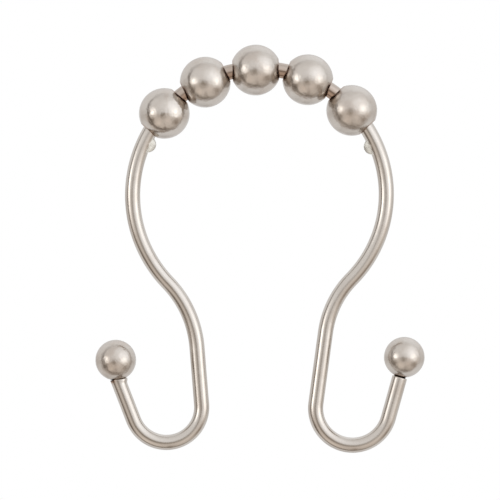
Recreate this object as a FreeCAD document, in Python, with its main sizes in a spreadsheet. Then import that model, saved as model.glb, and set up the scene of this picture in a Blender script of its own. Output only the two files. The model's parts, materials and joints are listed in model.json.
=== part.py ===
import FreeCAD, Part
import math
import os

import Sketcher
from FreeCAD import Placement, Rotation, Vector

# Double-sided curtain hook: one bent wire, five roller beads on its arch, a ball on each tip.
# Millimetres and degrees. X runs across the hook, Z up, Y along the rod that it hangs on.
# The origin is where the rod seats: on the hook's centre line, level with the underside of
# the middle bead.

DRIVING_SIZES = (
    ("wire_diameter", 3.0, "Wire diameter"),
    ("left_arch_radius", 24.95, "Arch, left half, radius of the wire's centre line"),
    ("right_arch_radius", 25.1, "Arch, right half, radius of the wire's centre line"),
    ("flank_start", 72.0, "Arch, angle from its top where the flanks begin"),
    ("left_flank_radius", 24.85, "Left flank, radius of the centre line"),
    ("right_flank_radius", 23.85, "Right flank, radius of the centre line"),
    ("left_waist_angle", 43.9, "Left flank, end of its round below the horizontal"),
    ("right_waist_angle", 44.5, "Right flank, end of its round below the horizontal"),
    ("left_waist_radius", 20.8, "Left waist, radius of the centre line"),
    ("right_waist_radius", 18.5, "Right waist, radius of the centre line"),
    ("left_leg_lean", 4.6, "Left leg, lean towards the other"),
    ("right_leg_lean", 7.7, "Right leg, lean towards the other"),
    ("left_leg_length", 11.25, "Left leg, straight length"),
    ("right_leg_length", 14.1, "Right leg, straight length"),
    ("left_hook_radius", 6.95, "Left hook, radius of the centre line"),
    ("right_hook_radius", 7.3, "Right hook, radius of the centre line"),
    ("left_tip_lean", 21.2, "Left tip, lean outwards"),
    ("right_tip_lean", 15.6, "Right tip, lean outwards"),
    ("left_tip_length", 12.25, "Left tip, from the bend to the ball's middle"),
    ("right_tip_length", 12.4, "Right tip, from the bend to the ball's middle"),
    ("bead_diameter", 10.0, "Roller bead, diameter"),
    ("bead_clearance", 0.1, "Roller bead, play of its bore over the bent wire"),
    ("bead_chamfer", 0.2, "Roller bead, chamfer of the bore"),
    ("middle_bead_angle", 1.6, "Middle bead, angle left of the top"),
    ("gap_far_left", 0.14, "Gap between the two beads on the left"),
    ("gap_left", 0.22, "Gap between the middle bead and its left neighbour"),
    ("gap_right", 0.45, "Gap between the middle bead and its right neighbour"),
    ("gap_far_right", 0.55, "Gap between the two beads on the right"),
    ("left_play", 0.25, "Left stop, distance from the outer bead"),
    ("right_play", 1.55, "Right stop, distance from the outer bead"),
    ("stop_length", 3.4, "Stop, length along the wire"),
    ("stop_height", 0.95, "Stop, height above the wire's inner side"),
    ("stop_thickness", 2.4, "Stop, thickness in its middle"),
    ("stop_rim", 1.2, "Stop, thickness at its rim"),
    ("stop_rounding", 0.25, "Stop, rounding of its rim"),
    ("ball_diameter", 8.0, "End ball, diameter"),
    ("spigot_diameter", 2.3, "Wire's end, diameter of the thinned spigot in the ball"),
    ("shoulder_gap", 0.05, "Wire's end, shoulder below the ball's underside"),
    ("socket_clearance", 0.1, "End ball, play of its hole on the spigot"),
    ("socket_past_middle", 1.0, "End ball, hole beyond the ball's middle"),
    ("socket_chamfer", 0.15, "End ball, chamfer of the hole"),
    ("left_ball_offset", 1.0, "Left ball, middle off the wire's axis towards the leg"),
    ("right_ball_offset", 0.2, "Right ball, middle off the wire's axis towards the leg"),
)

SIDES = (("left", -1), ("right", 1))

# Points and axes as the sketcher numbers them
START, END, MIDDLE = range(1, 4)
HORIZONTAL_AXIS, VERTICAL_AXIS = range(-1, -3, -1)
ORIGIN = (HORIZONTAL_AXIS, START)

doc = FreeCAD.newDocument("CurtainHook")
sheet = doc.addObject("Spreadsheet::Sheet", "Sizes")
for row, (alias, value, note) in enumerate(DRIVING_SIZES, start=1):
    sheet.set(f"A{row}", note)
    sheet.set(f"B{row}", str(value))
    sheet.setAlias(f"B{row}", alias)
doc.recompute()


def bow(side):
    """Formula: how far the wire bows over the length of one bead."""
    arch = f"Sizes.{side}_arch_radius"
    return f"({arch} - sqrt({arch} ^ 2 - (Sizes.bead_diameter / 2) ^ 2))"


def bead_circle(side):
    """Formula: radius that the beads stand on, half of the bow inside the centre line."""
    return f"(Sizes.{side}_arch_radius - {bow(side)} / 2)"


def bore_radius(side):
    """Formula: a straight bore that clears the bent wire."""
    return f"((Sizes.wire_diameter + {bow(side)} + Sizes.bead_clearance) / 2)"


SOCKET_RADIUS = "((Sizes.spigot_diameter + Sizes.socket_clearance) / 2)"
# Height of the wire's centre line at the top of the arch, where its two halves meet
ARCH_TOP = (
    "(Sizes.bead_diameter / 2 + Sizes.left_arch_radius"
    f" - {bead_circle('left')} * cos(Sizes.middle_bead_angle))"
)


def size(alias):
    """Number in the sheet under this alias."""
    return float(sheet.get(alias))


def add_body(label):
    body = doc.addObject("PartDesign::Body", label)
    body.Label = label
    return body


def add_sketch(body, name, role):
    """Sketch on one of the body's own origin planes."""
    sketch = body.newObject("Sketcher::SketchObject", name)
    plane = next(p for p in body.Origin.OriginFeatures if p.Role == role)
    sketch.AttachmentSupport = [(plane, "")]
    sketch.MapMode = "FlatFace"
    return sketch


def constrain(sketch, kind, *where, name=None, formula=None):
    """Add a constraint, and tie its value to the sheet where it has a formula."""
    index = sketch.addConstraint(Sketcher.Constraint(kind, *where))
    if name:
        sketch.renameConstraint(index, name)
    if formula:
        sketch.setExpression(f"Constraints.{name}", formula)
    return index


def add_circle(sketch, centre, radius, name, formula):
    """Circle whose radius follows a formula."""
    circle = sketch.addGeometry(Part.Circle(centre, Vector(0, 0, 1), radius), False)
    constrain(sketch, "Radius", circle, radius, name=name, formula=formula)
    return circle


# Wire

def ray(sign, degrees):
    """Direction at this angle from upright, on the left for a sign of -1, on the right for 1."""
    angle = math.radians(degrees)
    return Vector(sign * math.sin(angle), math.cos(angle), 0)


def path_points(side, sign):
    """Corners and arc centres of one half of the wire's centre line, down from its top."""
    to_flank = ray(sign, size("flank_start"))
    to_waist = ray(sign, 90 + size(f"{side}_waist_angle"))
    to_leg = ray(sign, 90 + size(f"{side}_leg_lean"))
    down_leg = ray(sign, 180 + size(f"{side}_leg_lean"))
    to_tip = ray(sign, 90 + size(f"{side}_tip_lean"))
    up_tip = ray(sign, size(f"{side}_tip_lean"))
    arch = size(f"{side}_arch_radius")
    flank = size(f"{side}_flank_radius")
    waist = size(f"{side}_waist_radius")
    hook = size(f"{side}_hook_radius")
    points = {"top": Vector(), "arch_centre": Vector(0, -arch, 0)}
    points["flank_top"] = points["arch_centre"] + to_flank * arch
    points["flank_centre"] = points["flank_top"] - to_flank * flank
    points["flank_foot"] = points["flank_centre"] + to_waist * flank
    points["waist_centre"] = points["flank_foot"] + to_waist * waist
    points["leg_top"] = points["waist_centre"] - to_leg * waist
    points["leg_foot"] = points["leg_top"] + down_leg * size(f"{side}_leg_length")
    points["hook_centre"] = points["leg_foot"] + to_leg * hook
    points["tip_start"] = points["hook_centre"] + to_tip * hook
    points["ball"] = points["tip_start"] + up_tip * size(f"{side}_tip_length")
    points["wire_end"] = points["ball"] + up_tip * size("socket_past_middle")
    return points


def add_arc(sketch, centre, first, last, anticlockwise):
    """Arc from the first point to the last. Returns its index and the two ends' positions."""
    ends = (first, last) if anticlockwise else (last, first)
    angles = [math.atan2(point.y - centre.y, point.x - centre.x) for point in ends]
    circle = Part.Circle(centre, Vector(0, 0, 1), (first - centre).Length)
    arc = sketch.addGeometry(Part.ArcOfCircle(circle, *angles), False)
    return (arc, START, END) if anticlockwise else (arc, END, START)


def draw_half_path(body, side, sign):
    """Centre line of one half of the wire: arch, flank, waist, leg, hook and tip."""
    sketch = add_sketch(body, f"{side}_path", "XZ_Plane")
    at = path_points(side, sign)
    left = sign < 0
    arch, arch_first, arch_last = add_arc(
        sketch, at["arch_centre"], at["top"], at["flank_top"], left
    )
    flank, flank_first, flank_last = add_arc(
        sketch, at["flank_centre"], at["flank_top"], at["flank_foot"], left
    )
    waist, waist_first, waist_last = add_arc(
        sketch, at["waist_centre"], at["flank_foot"], at["leg_top"], not left
    )
    leg = sketch.addGeometry(Part.LineSegment(at["leg_top"], at["leg_foot"]), False)
    hook, hook_first, hook_last = add_arc(
        sketch, at["hook_centre"], at["leg_foot"], at["tip_start"], not left
    )
    shank = sketch.addGeometry(Part.LineSegment(at["tip_start"], at["ball"]), False)
    spigot = sketch.addGeometry(Part.LineSegment(at["ball"], at["wire_end"]), False)
    arch_spoke = sketch.addGeometry(Part.LineSegment(at["arch_centre"], at["flank_top"]), True)
    flank_spoke = sketch.addGeometry(
        Part.LineSegment(at["flank_centre"], at["flank_foot"]), True
    )

    constrain(sketch, "Coincident", arch, arch_first, *ORIGIN)
    constrain(sketch, "PointOnObject", arch, MIDDLE, VERTICAL_AXIS)
    constrain(sketch, "Tangent", arch, arch_last, flank, flank_first)
    constrain(sketch, "Tangent", flank, flank_last, waist, waist_first)
    constrain(sketch, "Tangent", waist, waist_last, leg, START)
    constrain(sketch, "Tangent", leg, END, hook, hook_first)
    constrain(sketch, "Tangent", hook, hook_last, shank, START)
    constrain(sketch, "Tangent", shank, END, spigot, START)
    for spoke, arc, arc_last in ((arch_spoke, arch, arch_last), (flank_spoke, flank, flank_last)):
        constrain(sketch, "Coincident", spoke, START, arc, MIDDLE)
        constrain(sketch, "Coincident", spoke, END, arc, arc_last)

    for arc, name in ((arch, "arch"), (flank, "flank"), (waist, "waist"), (hook, "hook")):
        alias = f"{side}_{name}_radius"
        constrain(sketch, "Radius", arc, size(alias), name=alias, formula=f"Sizes.{alias}")
    for line, alias in (
        (leg, f"{side}_leg_length"),
        (shank, f"{side}_tip_length"),
        (spigot, "socket_past_middle"),
    ):
        constrain(sketch, "Distance", line, size(alias), name=alias, formula=f"Sizes.{alias}")
    slopes = {
        "arch_slope": (arch_spoke, f"90 - {sign} * Sizes.flank_start"),
        "flank_slope": (flank_spoke, f"-90 + {sign} * (90 - Sizes.{side}_waist_angle)"),
        "leg_slope": (leg, f"-90 - {sign} * Sizes.{side}_leg_lean"),
        "tip_slope": (shank, f"90 - {sign} * Sizes.{side}_tip_lean"),
    }
    for name, (line, formula) in slopes.items():
        edge = sketch.Geometry[line]
        run = edge.EndPoint - edge.StartPoint
        slope = math.atan2(run.y, run.x)
        constrain(sketch, "Angle", line, slope, name=name, formula=f"({formula}) * 1 deg")

    # Two measured distances from the arch's top, which place the end ball
    across = (shank, END, *ORIGIN) if left else (*ORIGIN, shank, END)
    measured = (
        constrain(sketch, "DistanceX", *across, abs(at["ball"].x), name="ball_across"),
        constrain(sketch, "DistanceY", shank, END, *ORIGIN, -at["ball"].y, name="ball_drop"),
    )
    for index in measured:
        sketch.setDriving(index, False)
    return sketch


def draw_wire_section(body):
    """Round section of the wire at the top of the arch."""
    sketch = add_sketch(body, "wire_section", "YZ_Plane")
    circle = add_circle(
        sketch, Vector(), size("wire_diameter") / 2, "wire_radius", "Sizes.wire_diameter / 2"
    )
    constrain(sketch, "Coincident", circle, MIDDLE, *ORIGIN)
    return sketch


def stop_angle(side, outer_bead, sign):
    """Angle of a stop from the top of the arch: past the outer bead and its play."""
    half_bead = f"asin(Sizes.bead_diameter / 2 / {bead_circle(side)})"
    past_bead = f"(Sizes.{side}_play + Sizes.stop_length / 2) / Sizes.{side}_arch_radius * 1 rad"
    return f"{-sign} * {outer_bead}.ArchAngle + {half_bead} + {past_bead}"


def add_stop(body, side, sign, outer_bead):
    """Ear pinched up from the wire's inner side, which keeps the beads on the arch.

    It is turned about its own middle, thinner towards the rim on both faces.
    """
    sketch = add_sketch(body, f"{side}_stop_section", "YZ_Plane")
    sketch.addProperty("App::PropertyAngle", "ArchAngle")
    sketch.setExpression("ArchAngle", stop_angle(side, outer_bead, sign))
    arch = f"Sizes.{side}_arch_radius"
    middle = f"({arch} - Sizes.wire_diameter / 2 - Sizes.stop_height + Sizes.stop_length / 2)"
    sketch.AttachmentOffset = Placement(Vector(), Rotation(Vector(sign, 0, 0), 1))
    sketch.setExpression("AttachmentOffset.Rotation.Angle", "ArchAngle")
    sketch.setExpression("AttachmentOffset.Base.y", f"{middle} * cos(ArchAngle) - {arch}")
    sketch.setExpression("AttachmentOffset.Base.z", f"{sign} * {middle} * sin(ArchAngle)")

    radius = size("stop_length") / 2
    half_middle, half_rim = size("stop_thickness") / 2, size("stop_rim") / 2
    corners = [
        Vector(-half_middle, 0, 0),
        Vector(-half_rim, radius, 0),
        Vector(half_rim, radius, 0),
        Vector(half_middle, 0, 0),
    ]
    front, rim, back, axis = (
        sketch.addGeometry(Part.LineSegment(first, last), False)
        for first, last in zip(corners, corners[1:] + corners[:1])
    )
    for first, second in ((front, rim), (rim, back), (back, axis), (axis, front)):
        constrain(sketch, "Coincident", first, END, second, START)
    constrain(sketch, "PointOnObject", axis, START, HORIZONTAL_AXIS)
    constrain(sketch, "Symmetric", axis, END, axis, START, VERTICAL_AXIS)
    constrain(sketch, "Symmetric", rim, START, rim, END, VERTICAL_AXIS)
    for name, kind, ends, value, formula in (
        ("rim", "DistanceX", (rim, START, rim, END), 2 * half_rim, "Sizes.stop_rim"),
        ("thick", "DistanceX", (axis, END, axis, START), 2 * half_middle, "Sizes.stop_thickness"),
        ("stop_radius", "DistanceY", (axis, START, rim, START), radius, "Sizes.stop_length / 2"),
    ):
        constrain(sketch, kind, *ends, value, name=name, formula=formula)
    ear = body.newObject("PartDesign::Revolution", f"{side}_stop")
    ear.Profile = sketch
    ear.ReferenceAxis = (sketch, ["H_Axis"])
    ear.Angle = 360
    doc.recompute()
    return ear


def round_stop_rims(body, ears):
    """Round the two rims of each ear."""
    rims = []
    for number, edge in enumerate(body.Tip.Shape.Edges, start=1):
        flat = edge.BoundBox.YLength < 1e-6
        at_rim = abs(abs(edge.BoundBox.YMax) - size("stop_rim") / 2) < 1e-6
        if flat and at_rim and type(edge.Curve).__name__ == "Circle":
            rims.append(f"Edge{number}")
    rounding = body.newObject("PartDesign::Fillet", "stop_rims")
    rounding.Base = (ears[-1], rims)
    rounding.setExpression("Radius", "Sizes.stop_rounding")
    doc.recompute()


def add_pipe(body, name, section, path):
    pipe = body.newObject("PartDesign::AdditivePipe", name)
    pipe.Profile = section
    pipe.Spine = (path, [f"Edge{n}" for n in range(1, len(path.Shape.Edges) + 1)])
    doc.recompute()


def thin_end(body, side, sign, path):
    """Turn the end of the wire down to a spigot, from a shoulder just below the ball."""
    sketch = add_sketch(body, f"{side}_spigot_cut", "XZ_Plane")
    sketch.AttachmentOffset = Placement(Vector(), Rotation(Vector(0, 0, -sign), 1))
    sketch.setExpression("AttachmentOffset.Rotation.Angle", f"Sizes.{side}_tip_lean * 1 deg")
    across = f"{sign} * {path.Name}.Constraints.ball_across"
    sketch.setExpression("AttachmentOffset.Base.x", across)
    sketch.setExpression("AttachmentOffset.Base.y", f"-{path.Name}.Constraints.ball_drop")

    inner, outer = size("spigot_diameter") / 2, size("wire_diameter")
    low = -size("ball_diameter") / 2 - size("shoulder_gap")
    high = 2 * size("socket_past_middle")
    corners = [
        Vector(inner, low, 0), Vector(outer, low, 0), Vector(outer, high, 0), Vector(inner, high, 0)
    ]
    bottom, far_side, top, near_side = (
        sketch.addGeometry(Part.LineSegment(first, last), False)
        for first, last in zip(corners, corners[1:] + corners[:1])
    )
    for first, second in (
        (bottom, far_side), (far_side, top), (top, near_side), (near_side, bottom)
    ):
        constrain(sketch, "Coincident", first, END, second, START)
    constrain(sketch, "Horizontal", bottom)
    constrain(sketch, "Horizontal", top)
    constrain(sketch, "Vertical", far_side)
    constrain(sketch, "Vertical", near_side)
    for name, kind, ends, value, formula in (
        ("inner", "DistanceX", (*ORIGIN, bottom, START), inner, "Sizes.spigot_diameter / 2"),
        ("outer", "DistanceX", (*ORIGIN, bottom, END), outer, "Sizes.wire_diameter"),
        (
            "low", "DistanceY", (bottom, START, *ORIGIN), -low,
            "Sizes.ball_diameter / 2 + Sizes.shoulder_gap",
        ),
        ("high", "DistanceY", (*ORIGIN, top, END), high, "2 * Sizes.socket_past_middle"),
    ):
        constrain(sketch, kind, *ends, value, name=name, formula=formula)
    cut = body.newObject("PartDesign::Groove", f"{side}_spigot")
    cut.Profile = sketch
    cut.ReferenceAxis = (sketch, ["V_Axis"])
    cut.Angle = 360
    doc.recompute()


def make_wire_hook(left_outer_bead, right_outer_bead):
    """The whole bent wire, with its two stops and thinned ends."""
    body = add_body("wire_hook")
    section = draw_wire_section(body)
    paths = {side: draw_half_path(body, side, sign) for side, sign in SIDES}
    doc.recompute()
    for side, path in paths.items():
        add_pipe(body, f"{side}_half", section, path)
    beads = {"left": left_outer_bead, "right": right_outer_bead}
    ears = [add_stop(body, side, sign, beads[side].Name) for side, sign in SIDES]
    round_stop_rims(body, ears)
    for side, sign in SIDES:
        thin_end(body, side, sign, paths[side])
    body.setExpression("Placement.Base.z", ARCH_TOP)
    return body, paths


# Roller beads

def turn_ball(body, diameter_alias):
    """Ball turned about the body's Z axis."""
    sketch = add_sketch(body, f"{body.Name}_section", "XZ_Plane")
    radius = size(diameter_alias) / 2
    top, bottom = Vector(0, radius, 0), Vector(0, -radius, 0)
    arc, arc_first, arc_last = add_arc(sketch, Vector(), bottom, top, True)
    axis = sketch.addGeometry(Part.LineSegment(top, bottom), False)
    constrain(sketch, "Coincident", arc, MIDDLE, *ORIGIN)
    constrain(sketch, "Coincident", arc, arc_last, axis, START)
    constrain(sketch, "Coincident", arc, arc_first, axis, END)
    constrain(sketch, "PointOnObject", arc, arc_last, VERTICAL_AXIS)
    constrain(sketch, "PointOnObject", arc, arc_first, VERTICAL_AXIS)
    constrain(
        sketch, "Radius", arc, radius, name="ball_radius", formula=f"Sizes.{diameter_alias} / 2"
    )
    ball = body.newObject("PartDesign::Revolution", f"{body.Name}_ball")
    ball.Profile = sketch
    ball.ReferenceAxis = (sketch, ["V_Axis"])
    ball.Angle = 360
    doc.recompute()
    return sketch


def bore(body, formula, both_ways):
    """Round hole along the body's Z axis: right through, or downwards from the sketch."""
    sketch = add_sketch(body, f"{body.Name}_bore_outline", "XY_Plane")
    hole = add_circle(sketch, Vector(), size("spigot_diameter") / 2, "bore_radius", formula)
    constrain(sketch, "Coincident", hole, MIDDLE, *ORIGIN)
    cut = body.newObject("PartDesign::Pocket", f"{body.Name}_bore")
    cut.Profile = sketch
    cut.Type = "ThroughAll"
    cut.SideType = "Symmetric" if both_ways else "One side"
    return sketch, cut


def chamfer_mouths(body, cut, alias):
    """Break the edge where the hole leaves the ball, but not the one at a hole's bottom."""
    mouths = []
    for number, edge in enumerate(cut.Shape.Edges, start=1):
        at_bottom = abs(edge.BoundBox.Center.z - cut.Profile[0].Placement.Base.z) < 1e-6
        if edge.isClosed() and not at_bottom:
            mouths.append(f"Edge{number}")
    broken = body.newObject("PartDesign::Chamfer", f"{body.Name}_mouth")
    broken.Base = (cut, mouths)
    broken.setExpression("Size", f"Sizes.{alias}")
    doc.recompute()


def make_bead(label, side, neighbour=None, sign=0, gap=None):
    """Roller bead on one half of the arch, placed from the top or beside its neighbour."""
    body = add_body(label)
    turn_ball(body, "bead_diameter")
    _, cut = bore(body, bore_radius(side), both_ways=True)
    doc.recompute()
    chamfer_mouths(body, cut, "bead_chamfer")
    circle = bead_circle(side)
    body.addProperty("App::PropertyAngle", "ArchAngle")
    if neighbour is None:
        body.setExpression("ArchAngle", "Sizes.middle_bead_angle * 1 deg")
    else:
        pitch = f"2 * asin((Sizes.bead_diameter + Sizes.{gap}) / 2 / {circle})"
        body.setExpression("ArchAngle", f"{neighbour.Name}.ArchAngle - {sign} * {pitch}")
    body.Placement.Rotation = Rotation(Vector(0, 1, 0), 90)
    body.setExpression("Placement.Rotation.Angle", "90 deg - ArchAngle")
    body.setExpression("Placement.Base.x", f"-{circle} * sin(ArchAngle)")
    height = f"{ARCH_TOP} - Sizes.{side}_arch_radius + {circle} * cos(ArchAngle)"
    body.setExpression("Placement.Base.z", height)
    doc.recompute()
    return body


# End balls

def make_end_ball(side, sign, path):
    """Ball on a tip of the wire, with a blind hole that the spigot bottoms in."""
    body = add_body(f"{side}_end_ball")
    section = turn_ball(body, "ball_diameter")
    section.setExpression("AttachmentOffset.Base.x", f"{-sign} * Sizes.{side}_ball_offset")
    sketch, cut = bore(body, SOCKET_RADIUS, both_ways=False)
    sketch.setExpression("AttachmentOffset.Base.z", "Sizes.socket_past_middle")
    doc.recompute()
    chamfer_mouths(body, cut, "socket_chamfer")
    body.Placement.Rotation = Rotation(Vector(0, sign, 0), size(f"{side}_tip_lean"))
    body.setExpression("Placement.Rotation.Angle", f"Sizes.{side}_tip_lean * 1 deg")
    body.setExpression("Placement.Base.x", f"{sign} * {path.Name}.Constraints.ball_across")
    height = f"{ARCH_TOP} * 1 mm - {path.Name}.Constraints.ball_drop"
    body.setExpression("Placement.Base.z", height)
    return body


# Assembly

middle_bead = make_bead("middle_bead", "left")
left_inner_bead = make_bead("left_inner_bead", "left", middle_bead, -1, "gap_left")
left_outer_bead = make_bead("left_outer_bead", "left", left_inner_bead, -1, "gap_far_left")
right_inner_bead = make_bead("right_inner_bead", "right", middle_bead, 1, "gap_right")
right_outer_bead = make_bead("right_outer_bead", "right", right_inner_bead, 1, "gap_far_right")
wire_hook, half_paths = make_wire_hook(left_outer_bead, right_outer_bead)
left_end_ball = make_end_ball("left", -1, half_paths["left"])
right_end_ball = make_end_ball("right", 1, half_paths["right"])
doc.recompute()

PARTS = (
    wire_hook,
    left_outer_bead,
    left_inner_bead,
    middle_bead,
    right_inner_bead,
    right_outer_bead,
    left_end_ball,
    right_end_ball,
)

for item in doc.Objects:
    if "Invalid" in item.State or "Error" in item.State:
        raise RuntimeError(f"{item.Label} did not build: {item.State}")
for part in PARTS:
    if part.Shape.isNull() or not part.Shape.isValid():
        raise RuntimeError(f"{part.Label} has no valid shape")

os.makedirs("parts", exist_ok=True)
for part in PARTS:
    part.Shape.exportStep(f"parts/{part.Label}.step")
    print(f"{part.Label}: {part.Shape.Volume:.2f} cubic millimetres")
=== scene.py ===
import json
import math

import bmesh
import bpy
from bpy.props import FloatProperty, FloatVectorProperty, IntProperty, PointerProperty
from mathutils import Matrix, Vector


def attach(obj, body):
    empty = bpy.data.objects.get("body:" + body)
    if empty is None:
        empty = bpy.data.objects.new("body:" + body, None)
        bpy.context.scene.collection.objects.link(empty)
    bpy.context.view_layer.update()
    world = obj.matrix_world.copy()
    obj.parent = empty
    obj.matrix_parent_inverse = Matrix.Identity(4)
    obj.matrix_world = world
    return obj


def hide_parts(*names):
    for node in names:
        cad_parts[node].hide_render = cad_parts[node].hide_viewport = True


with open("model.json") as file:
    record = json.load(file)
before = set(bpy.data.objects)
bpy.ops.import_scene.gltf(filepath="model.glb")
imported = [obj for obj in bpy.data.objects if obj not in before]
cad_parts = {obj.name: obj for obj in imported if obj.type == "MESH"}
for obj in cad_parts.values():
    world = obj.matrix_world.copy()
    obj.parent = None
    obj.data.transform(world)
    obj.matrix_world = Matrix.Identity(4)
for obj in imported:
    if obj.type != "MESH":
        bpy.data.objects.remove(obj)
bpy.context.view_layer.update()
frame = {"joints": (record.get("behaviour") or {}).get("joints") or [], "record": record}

bl_info = {
    "name": "Curtain hook",
    "version": (1, 0, 0),
    "blender": (4, 5, 0),
    "location": "3D View > Sidebar > Curtain Hook",
    "description": "Bends, threads and finishes a double-sided curtain hook with roller beads",
    "category": "Add Mesh",
}

WIRE_NODE = "wire_hook"
WIRE_BODY = "hook"

# The beads' places on the arch, as the frame gives them
BEAD_JOINTS = {joint["child"]: joint for joint in frame["joints"]}
BEAD_NODES = {
    roller: frame["record"]["behaviour"]["bodies"][roller][0] for roller in BEAD_JOINTS
}


def arch_top(wire):
    """Height of the centre line at the top of the arch, from two beads on its left half."""
    first = Vector(BEAD_JOINTS["left_outer_roller"]["pos_m"])
    second = Vector(BEAD_JOINTS["middle_roller"]["pos_m"])
    centre = (first.length_squared - second.length_squared) / (2 * (first.z - second.z))
    return centre + wire.left_arch_radius


# Settings

def length(name, description, default):
    return FloatProperty(
        name=name, description=description, default=default, min=0, precision=5,
        subtype="DISTANCE", unit="LENGTH",
    )


def angle(name, description, degrees):
    return FloatProperty(
        name=name, description=description, default=math.radians(degrees), subtype="ANGLE",
        unit="ROTATION",
    )


def share(name, description, default):
    return FloatProperty(
        name=name, description=description, default=default, min=0, max=1, subtype="FACTOR"
    )


def position(name, description, default):
    return FloatProperty(
        name=name, description=description, default=default, precision=5,
        subtype="DISTANCE", unit="LENGTH",
    )


def colour(name, description, default):
    return FloatVectorProperty(
        name=name, description=description, default=default, size=3, min=0, max=1,
        subtype="COLOR",
    )


class WireSettings(bpy.types.PropertyGroup):
    """Sizes of the bent wire."""

    diameter: length("Wire Diameter", "Thickness of the round wire", 0.003)
    left_arch_radius: length("Left Arch Radius", "Left half of the arch", 0.02495)
    right_arch_radius: length("Right Arch Radius", "Right half of the arch", 0.0251)
    flank_start: angle("Flank Start", "Angle from the top where the flanks begin", 72)
    left_flank_radius: length("Left Flank Radius", "Radius of the left flank", 0.02485)
    right_flank_radius: length("Right Flank Radius", "Radius of the right flank", 0.02385)
    left_waist_angle: angle("Left Waist Angle", "End of the left flank below level", 43.9)
    right_waist_angle: angle("Right Waist Angle", "End of the right flank below level", 44.5)
    left_waist_radius: length("Left Waist Radius", "Radius of the left waist", 0.0208)
    right_waist_radius: length("Right Waist Radius", "Radius of the right waist", 0.0185)
    left_leg_lean: angle("Left Leg Lean", "Lean of the left leg inwards", 4.6)
    right_leg_lean: angle("Right Leg Lean", "Lean of the right leg inwards", 7.7)
    left_leg: length("Left Leg", "Straight length of the left leg", 0.01125)
    right_leg: length("Right Leg", "Straight length of the right leg", 0.0141)
    left_hook_radius: length("Left Hook Radius", "Radius of the left bend", 0.00695)
    right_hook_radius: length("Right Hook Radius", "Radius of the right bend", 0.0073)
    left_tip_lean: angle("Left Tip Lean", "Outward lean of the left tip", 21.2)
    right_tip_lean: angle("Right Tip Lean", "Outward lean of the right tip", 15.6)
    left_tip: length("Left Tip", "Left bend to the middle of its ball", 0.01225)
    right_tip: length("Right Tip", "Right bend to the middle of its ball", 0.0124)
    shoulder: length("Shoulder", "Middle of an end ball to the shoulder below it", 0.00405)
    spigot: length("Spigot", "Wire beyond the middle of an end ball", 0.001)
    spigot_diameter: length("Spigot Diameter", "Thinned end inside an end ball", 0.0023)
    sides: IntProperty(name="Sides", description="Faces round the wire", default=64, min=16)
    left_stop: angle("Left Stop", "Angle of the left stop from the top of the arch", 65.34)
    right_stop: angle("Right Stop", "Angle of the right stop from the top of the arch", 66.22)
    stop_length: length("Stop Length", "Length of a stop along the wire", 0.0034)
    stop_height: length("Stop Height", "Height of a stop above the wire", 0.00095)
    stop_thickness: length("Stop Thickness", "Thickness in the middle of a stop", 0.0024)
    stop_rim: length("Stop Rim", "Thickness at the rim of a stop", 0.0012)
    weld_height: length("Weld Height", "Height of the weld under the left ball", 0.00035)


class BeadSettings(bpy.types.PropertyGroup):
    """Sizes of the roller beads and the end balls."""

    diameter: length("Bead Diameter", "Diameter of a roller bead", 0.01)
    bore: length("Bead Bore", "Diameter of a bead's bore", 0.003606)
    lip: length("Bead Lip", "Rounding where the bore leaves the bead", 0.0002)
    ball_diameter: length("Ball Diameter", "Diameter of an end ball", 0.008)
    socket: length("Ball Socket", "Diameter of the hole in an end ball", 0.0024)
    socket_lip: length("Socket Lip", "Width of the broken edge of the hole", 0.00015)
    left_offset: length("Left Offset", "Left ball's middle off the wire's axis", 0.001)
    right_offset: length("Right Offset", "Right ball's middle off the wire's axis", 0.0002)


class FinishSettings(bpy.types.PropertyGroup):
    """Colours and texture of the satin nickel, with the colours of its painted shade and
    sheen.
    """

    nickel: colour("Nickel", "Clean plated metal", (0.57, 0.533, 0.494))
    bead_nickel: colour("Bead Nickel", "Metal of the beads and balls", (0.565, 0.523, 0.482))
    tarnish: colour("Tarnish", "Browner metal in patches and specks", (0.40, 0.32, 0.26))
    # Painted shade: this brown darkens the necks between the beads and the mouths of their
    # bores
    rubbed: colour("Rubbed", "Brown metal where the beads rub", (0.34, 0.235, 0.175))
    # Painted shade: this near-black darkens the spigots in the ball sockets and the hollow
    # outside under the left ball
    soot: colour("Soot", "Dark residue in the joints", (0.05, 0.04, 0.03))
    # Painted sheen: this colour makes the flat faces of the stops lighter than the nickel, for
    # the light they catch
    pinched: colour("Pinched Metal", "Flattened faces of the stops", (0.80, 0.80, 0.76))
    wire_roughness: share("Wire Roughness", "Roughness of the drawn wire", 0.13)
    bead_roughness: share("Bead Roughness", "Roughness of the tumbled beads", 0.24)


class StageSettings(bpy.types.PropertyGroup):
    """Camera, floor and light."""

    camera_distance: length("Camera Distance", "Camera to the hook's plane", 0.7)
    view_across: position("View Across", "Middle of the picture, sideways", -0.001812)
    view_height: position("View Height", "Middle of the picture, upwards", -0.030452)
    view_width: length("View Width", "Width of the picture at the hook", 0.0985)
    floor_height: position("Floor Height", "Height of the floor under the hanging hook", -0.12)
    surround: colour("Surround", "White paper behind the hook", (1.0, 1.0, 1.0))
    room_top: colour("Room Top", "Edge of the room over the hook", (0.90, 0.89, 0.88))
    room_above: colour("Room Above", "Upper half of the room in front", (1.0, 0.99, 0.98))
    room_below: colour("Room Below", "Lower half of the room in front", (0.84, 0.77, 0.70))
    room_floor: colour("Room Floor", "Edge of the room under the hook", (0.50, 0.43, 0.37))
    seam: colour("Seam", "Dark edge of the paper", (0.10, 0.075, 0.06))
    lamp_power: FloatProperty(
        name="Lamp", description="Power of the overhead softbox", default=1.5, min=0,
        subtype="POWER", unit="POWER",
    )


class CurtainHookSettings(bpy.types.PropertyGroup):
    """Everything that a user may change on the hook."""

    wire: PointerProperty(type=WireSettings)
    beads: PointerProperty(type=BeadSettings)
    finish: PointerProperty(type=FinishSettings)
    stage: PointerProperty(type=StageSettings)


# Numbers worked out by nodes

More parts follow.
